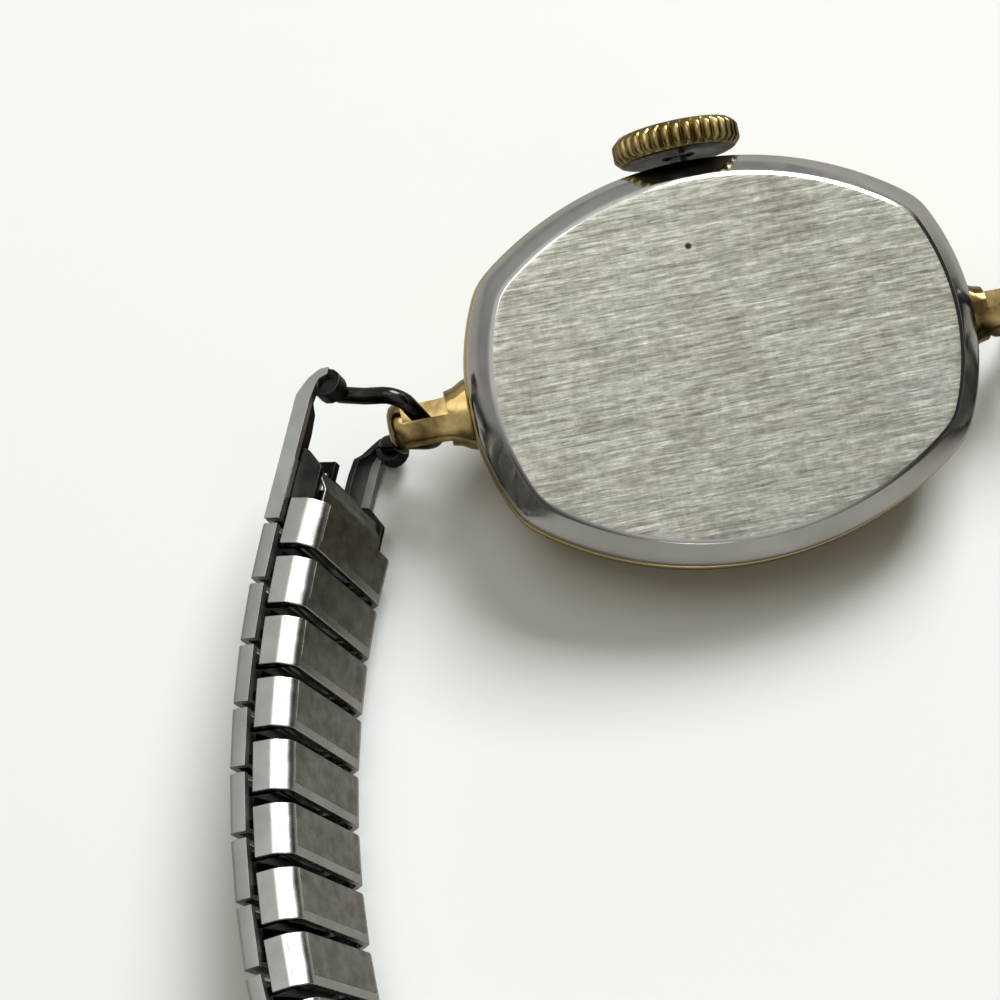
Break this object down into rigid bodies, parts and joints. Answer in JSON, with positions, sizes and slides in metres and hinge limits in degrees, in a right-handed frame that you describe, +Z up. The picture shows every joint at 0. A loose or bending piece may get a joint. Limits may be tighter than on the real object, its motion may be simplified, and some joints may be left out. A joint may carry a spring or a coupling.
{
  "type": "wristwatch",
  "caption": "Oval dress wristwatch with centre lugs, fluted crown, gear train and a closed expansion bracelet, laid on its front.",
  "frame": {"origin": "on the table, under the middle of the watch and its open bracelet loop", "axes": "+Z up from the table, +Y from the bracelet towards the crown, X along the two lugs"},
  "size_m": [0.0444, 0.052, 0.0109],
  "materials": {
    "steel_brushed": "straight brushed steel",
    "steel_polished": "polished steel",
    "gold": "polished gold plate",
    "gilt": "gilt, fine grain",
    "nickel": "nickelled plate",
    "blued_steel": "blued steel",
    "ruby": "clear red",
    "crystal": "clear",
    "dial": "satin cream"
  },
  "bodies": {
    "case": {"bezel": "gold", "crystal": "crystal", "spacer_ring": "nickel", "dial": "dial", "hour_markers": "gold", "mainplate": "nickel", "barrel_bridge": "nickel", "train_bridge": "nickel", "balance_cock": "nickel", "movement_screws": "blued_steel", "jewels": "ruby", "click_spring": "steel_polished", "hairspring": "blued_steel"},
    "back": {"case_back": "steel_brushed"},
    "lever": {"setting_lever": "steel_polished"},
    "crown": {"crown": "gold", "winding_stem": "steel_polished"},
    "winding_pinion": {"winding_pinion": "steel_polished"},
    "sliding_pinion": {"sliding_pinion": "steel_polished"},
    "crown_wheel": {"crown_wheel": "steel_polished"},
    "ratchet": {"ratchet_wheel": "steel_polished", "barrel_arbor": "steel_polished"},
    "click": {"click": "steel_polished"},
    "barrel": {"barrel": "gilt", "mainspring": "steel_polished"},
    "centre_wheel": {"centre_wheel": "gilt", "cannon_pinion": "steel_polished", "minute_hand": "gold"},
    "minute_wheel": {"minute_wheel": "gilt"},
    "hour_wheel": {"hour_wheel": "gilt", "hour_hand": "gold"},
    "third_wheel": {"third_wheel": "gilt"},
    "fourth_wheel": {"fourth_wheel": "gilt"},
    "escape_wheel": {"escape_wheel": "steel_polished"},
    "pallet_fork": {"pallet_fork": "steel_polished"},
    "balance": {"balance_wheel": "gilt"},
    "left_ring": {"left_end_ring": "steel_polished"},
    "left_end": {"left_end_piece": "steel_brushed"},
    "left_links_01": {"left_links_01": "steel_brushed"},
    "left_links_02": {"left_links_02": "steel_brushed"},
    "left_links_03": {"left_links_03": "steel_brushed"},
    "left_links_04": {"left_links_04": "steel_brushed"},
    "left_links_05": {"left_links_05": "steel_brushed"},
    "left_links_06": {"left_links_06": "steel_brushed"},
    "left_links_07": {"left_links_07": "steel_brushed"},
    "left_links_08": {"left_links_08": "steel_brushed"},
    "left_links_09": {"left_links_09": "steel_brushed"},
    "left_links_10": {"left_links_10": "steel_brushed"},
    "right_ring": {"right_end_ring": "steel_polished"},
    "right_end": {"right_end_piece": "steel_brushed"},
    "right_links_01": {"right_links_01": "steel_brushed"},
    "right_links_02": {"right_links_02": "steel_brushed"},
    "right_links_03": {"right_links_03": "steel_brushed"},
    "right_links_04": {"right_links_04": "steel_brushed"},
    "right_links_05": {"right_links_05": "steel_brushed"},
    "right_links_06": {"right_links_06": "steel_brushed"},
    "right_links_07": {"right_links_07": "steel_brushed"},
    "right_links_08": {"right_links_08": "steel_brushed"},
    "right_links_09": {"right_links_09": "steel_brushed"},
    "right_links_10": {"right_links_10": "steel_brushed"}
  },
  "joints": [
    {"name": "back_lift", "type": "slide", "parent": "case", "child": "back", "axis": [0, -0.3746, 0.9272], "range_m": [0, 0.006]},
    {"name": "crown_pull", "type": "slide", "parent": "case", "child": "lever", "axis": [0, 0.9272, 0.3746], "range_m": [0, 0.0005]},
    {"name": "crown_turn", "type": "hinge", "parent": "lever", "child": "crown", "pos_m": [0, 0.02421, 0.00822], "axis": [0, 0.9272, 0.3746], "continuous": true},
    {"name": "winding_pinion_turn", "type": "hinge", "parent": "case", "child": "winding_pinion", "pos_m": [0, 0.02036, 0.00667], "axis": [0, 0.9272, 0.3746], "continuous": true},
    {"name": "sliding_pinion_turn", "type": "hinge", "parent": "case", "child": "sliding_pinion", "pos_m": [0, 0.01948, 0.00631], "axis": [0, 0.9272, 0.3746], "continuous": true},
    {"name": "crown_wheel_turn", "type": "hinge", "parent": "case", "child": "crown_wheel", "pos_m": [-0.001, 0.01915, 0.00784], "axis": [0, -0.3746, 0.9272], "continuous": true},
    {"name": "ratchet_turn", "type": "hinge", "parent": "case", "child": "ratchet", "pos_m": [-0.00341, 0.01666, 0.00684], "axis": [0, -0.3746, 0.9272], "continuous": true},
    {"name": "click_turn", "type": "hinge", "parent": "case", "child": "click", "pos_m": [-0.00608, 0.01551, 0.00637], "axis": [0, -0.3746, 0.9272], "range_deg": [0, 10]},
    {"name": "centre_turn", "type": "hinge", "parent": "case", "child": "centre_wheel", "pos_m": [0, 0.01644, 0.0053], "axis": [0, -0.3746, 0.9272], "continuous": true},
    {"name": "barrel_turn", "type": "hinge", "parent": "case", "child": "barrel", "pos_m": [-0.00341, 0.01717, 0.0056], "axis": [0, -0.3746, 0.9272], "continuous": true},
    {"name": "minute_wheel_turn", "type": "hinge", "parent": "case", "child": "minute_wheel", "pos_m": [0.00085, 0.0178, 0.00585], "axis": [0, -0.3746, 0.9272], "continuous": true},
    {"name": "hour_wheel_turn", "type": "hinge", "parent": "case", "child": "hour_wheel", "pos_m": [0, 0.01644, 0.0053], "axis": [0, -0.3746, 0.9272], "continuous": true},
    {"name": "third_wheel_turn", "type": "hinge", "parent": "case", "child": "third_wheel", "pos_m": [0.00185, 0.01478, 0.00463], "axis": [0, -0.3746, 0.9272], "continuous": true},
    {"name": "fourth_wheel_turn", "type": "hinge", "parent": "case", "child": "fourth_wheel", "pos_m": [0.00405, 0.01537, 0.00487], "axis": [0, -0.3746, 0.9272], "continuous": true},
    {"name": "escape_wheel_turn", "type": "hinge", "parent": "case", "child": "escape_wheel", "pos_m": [0.00479, 0.01698, 0.00552], "axis": [0, -0.3746, 0.9272], "continuous": true},
    {"name": "balance_turn", "type": "hinge", "parent": "case", "child": "balance", "pos_m": [0.0036, 0.01922, 0.00642], "axis": [0, -0.3746, 0.9272], "range_deg": [-135, 135]},
    {"name": "fork_turn", "type": "hinge", "parent": "case", "child": "pallet_fork", "pos_m": [0.00419, 0.0181, 0.00597], "axis": [0, -0.3746, 0.9272], "range_deg": [-5, 5]},
    {"name": "left_ring_swing", "type": "hinge", "parent": "case", "child": "left_ring", "pos_m": [-0.01183, 0.01696, 0.004], "axis": [-1, 0, 0], "range_deg": [0, 68]},
    {"name": "left_end_flex", "type": "hinge", "parent": "left_ring", "child": "left_end", "pos_m": [-0.01428, 0.01802, 0.00332], "axis": [-0.3601, 0.1517, 0.9205], "range_deg": [-2.5, 2.5]},
    {"name": "left_flex_01", "type": "hinge", "parent": "left_end", "child": "left_links_01", "pos_m": [-0.01637, 0.01304, 0.00332], "axis": [-0.3579, 0.1568, 0.9205], "range_deg": [-2.19, 2.19]},
    {"name": "left_flex_02", "type": "hinge", "parent": "left_links_01", "child": "left_links_02", "pos_m": [-0.01804, 0.00854, 0.00332], "axis": [-0.3734, 0.115, 0.9205], "range_deg": [-1.83, 1.83]},
    {"name": "left_flex_03", "type": "hinge", "parent": "left_links_02", "child": "left_links_03", "pos_m": [-0.01919, 0.00389, 0.00332], "axis": [-0.3841, 0.0716, 0.9205], "range_deg": [-0.89, 0.89]},
    {"name": "left_flex_04", "type": "hinge", "parent": "left_links_03", "child": "left_links_04", "pos_m": [-0.0198, -0.00087, 0.00332], "axis": [-0.3898, 0.0273, 0.9205], "range_deg": [-0.201, 0.201]},
    {"name": "left_flex_05", "type": "hinge", "parent": "left_links_04", "child": "left_links_05", "pos_m": [-0.01981, -0.00567, 0.00332], "axis": [-0.389, -0.0364, 0.9205], "range_deg": [-0.77, 0.77]},
    {"name": "left_flex_06", "type": "hinge", "parent": "left_links_05", "child": "left_links_06", "pos_m": [-0.0188, -0.01035, 0.00332], "axis": [-0.3691, -0.1283, 0.9205], "range_deg": [-2.29, 2.29]},
    {"name": "left_flex_07", "type": "hinge", "parent": "left_links_06", "child": "left_links_07", "pos_m": [-0.01669, -0.01465, 0.00332], "axis": [-0.3277, -0.2128, 0.9205], "range_deg": [-2.18, 2.18]},
    {"name": "left_flex_08", "type": "hinge", "parent": "left_links_07", "child": "left_links_08", "pos_m": [-0.01362, -0.01832, 0.00332], "axis": [-0.2674, -0.2849, 0.9205], "range_deg": [-0.85, 0.85]},
    {"name": "left_flex_09", "type": "hinge", "parent": "left_links_08", "child": "left_links_09", "pos_m": [-0.00976, -0.02115, 0.00332], "axis": [-0.1916, -0.3405, 0.9205], "range_deg": [-0.98, 0.98]},
    {"name": "left_flex_10", "type": "hinge", "parent": "left_links_09", "child": "left_links_10", "pos_m": [-0.00533, -0.02298, 0.00332], "axis": [-0.1047, -0.3764, 0.9205], "range_deg": [-2.49, 2.49]},
    {"name": "right_ring_swing", "type": "hinge", "parent": "case", "child": "right_ring", "pos_m": [0.01183, 0.01696, 0.004], "axis": [-1, 0, 0], "range_deg": [0, 68]},
    {"name": "right_end_flex", "type": "hinge", "parent": "right_ring", "child": "right_end", "pos_m": [0.01428, 0.01802, 0.00332], "axis": [0.3601, 0.1517, 0.9205], "range_deg": [-2.5, 2.5]},
    {"name": "right_flex_01", "type": "hinge", "parent": "right_end", "child": "right_links_01", "pos_m": [0.01637, 0.01304, 0.00332], "axis": [0.3579, 0.1568, 0.9205], "range_deg": [-2.19, 2.19]},
    {"name": "right_flex_02", "type": "hinge", "parent": "right_links_01", "child": "right_links_02", "pos_m": [0.01804, 0.00854, 0.00332], "axis": [0.3734, 0.115, 0.9205], "range_deg": [-1.83, 1.83]},
    {"name": "right_flex_03", "type": "hinge", "parent": "right_links_02", "child": "right_links_03", "pos_m": [0.01919, 0.00389, 0.00332], "axis": [0.3841, 0.0716, 0.9205], "range_deg": [-0.89, 0.89]},
    {"name": "right_flex_04", "type": "hinge", "parent": "right_links_03", "child": "right_links_04", "pos_m": [0.0198, -0.00087, 0.00332], "axis": [0.3898, 0.0273, 0.9205], "range_deg": [-0.201, 0.201]},
    {"name": "right_flex_05", "type": "hinge", "parent": "right_links_04", "child": "right_links_05", "pos_m": [0.01981, -0.00567, 0.00332], "axis": [0.389, -0.0364, 0.9205], "range_deg": [-0.77, 0.77]},
    {"name": "right_flex_06", "type": "hinge", "parent": "right_links_05", "child": "right_links_06", "pos_m": [0.0188, -0.01035, 0.00332], "axis": [0.3691, -0.1283, 0.9205], "range_deg": [-2.29, 2.29]},
    {"name": "right_flex_07", "type": "hinge", "parent": "right_links_06", "child": "right_links_07", "pos_m": [0.01669, -0.01465, 0.00332], "axis": [0.3277, -0.2128, 0.9205], "range_deg": [-2.18, 2.18]},
    {"name": "right_flex_08", "type": "hinge", "parent": "right_links_07", "child": "right_links_08", "pos_m": [0.01362, -0.01832, 0.00332], "axis": [0.2674, -0.2849, 0.9205], "range_deg": [-0.85, 0.85]},
    {"name": "right_flex_09", "type": "hinge", "parent": "right_links_08", "child": "right_links_09", "pos_m": [0.00976, -0.02115, 0.00332], "axis": [0.1916, -0.3405, 0.9205], "range_deg": [-0.98, 0.98]},
    {"name": "right_flex_10", "type": "hinge", "parent": "right_links_09", "child": "right_links_10", "pos_m": [0.00533, -0.02298, 0.00332], "axis": [0.1047, -0.3764, 0.9205], "range_deg": [-2.49, 2.49]}
  ],
  "couplings": [
    {"joint": "winding_pinion_turn", "follows": "crown_turn", "ratio": 1},
    {"joint": "sliding_pinion_turn", "follows": "crown_turn", "ratio": 1},
    {"joint": "crown_wheel_turn", "follows": "crown_turn", "ratio": 0.41667},
    {"joint": "ratchet_turn", "follows": "crown_turn", "ratio": -0.41667},
    {"joint": "barrel_turn", "follows": "centre_turn", "ratio": -0.16667},
    {"joint": "minute_wheel_turn", "follows": "centre_turn", "ratio": -0.33333},
    {"joint": "hour_wheel_turn", "follows": "centre_turn", "ratio": 0.083333},
    {"joint": "third_wheel_turn", "follows": "centre_turn", "ratio": -8},
    {"joint": "fourth_wheel_turn", "follows": "centre_turn", "ratio": 60},
    {"joint": "escape_wheel_turn", "follows": "centre_turn", "ratio": -480},
    {"joint": "fork_turn", "follows": "balance_turn", "ratio": 0.037037},
    {"joint": "left_flex_01", "follows": "left_end_flex", "ratio": -0.87723},
    {"joint": "left_flex_02", "follows": "left_end_flex", "ratio": -0.73353},
    {"joint": "left_flex_03", "follows": "left_end_flex", "ratio": -0.3545},
    {"joint": "left_flex_04", "follows": "left_end_flex", "ratio": -0.08021},
    {"joint": "left_flex_05", "follows": "left_end_flex", "ratio": 0.30701},
    {"joint": "left_flex_06", "follows": "left_end_flex", "ratio": 0.91534},
    {"joint": "left_flex_07", "follows": "left_end_flex", "ratio": 0.87322},
    {"joint": "left_flex_08", "follows": "left_end_flex", "ratio": 0.33916},
    {"joint": "left_flex_09", "follows": "left_end_flex", "ratio": -0.3933},
    {"joint": "left_flex_10", "follows": "left_end_flex", "ratio": -0.99598},
    {"joint": "right_end_flex", "follows": "left_end_flex", "ratio": -1},
    {"joint": "right_flex_01", "follows": "left_end_flex", "ratio": 0.87723},
    {"joint": "right_flex_02", "follows": "left_end_flex", "ratio": 0.73353},
    {"joint": "right_flex_03", "follows": "left_end_flex", "ratio": 0.3545},
    {"joint": "right_flex_04", "follows": "left_end_flex", "ratio": 0.08021},
    {"joint": "right_flex_05", "follows": "left_end_flex", "ratio": -0.30701},
    {"joint": "right_flex_06", "follows": "left_end_flex", "ratio": -0.91534},
    {"joint": "right_flex_07", "follows": "left_end_flex", "ratio": -0.87322},
    {"joint": "right_flex_08", "follows": "left_end_flex", "ratio": -0.33916},
    {"joint": "right_flex_09", "follows": "left_end_flex", "ratio": 0.3933},
    {"joint": "right_flex_10", "follows": "left_end_flex", "ratio": 0.99598},
    {"joint": "right_ring_swing", "follows": "left_ring_swing", "ratio": 1}
  ]
}
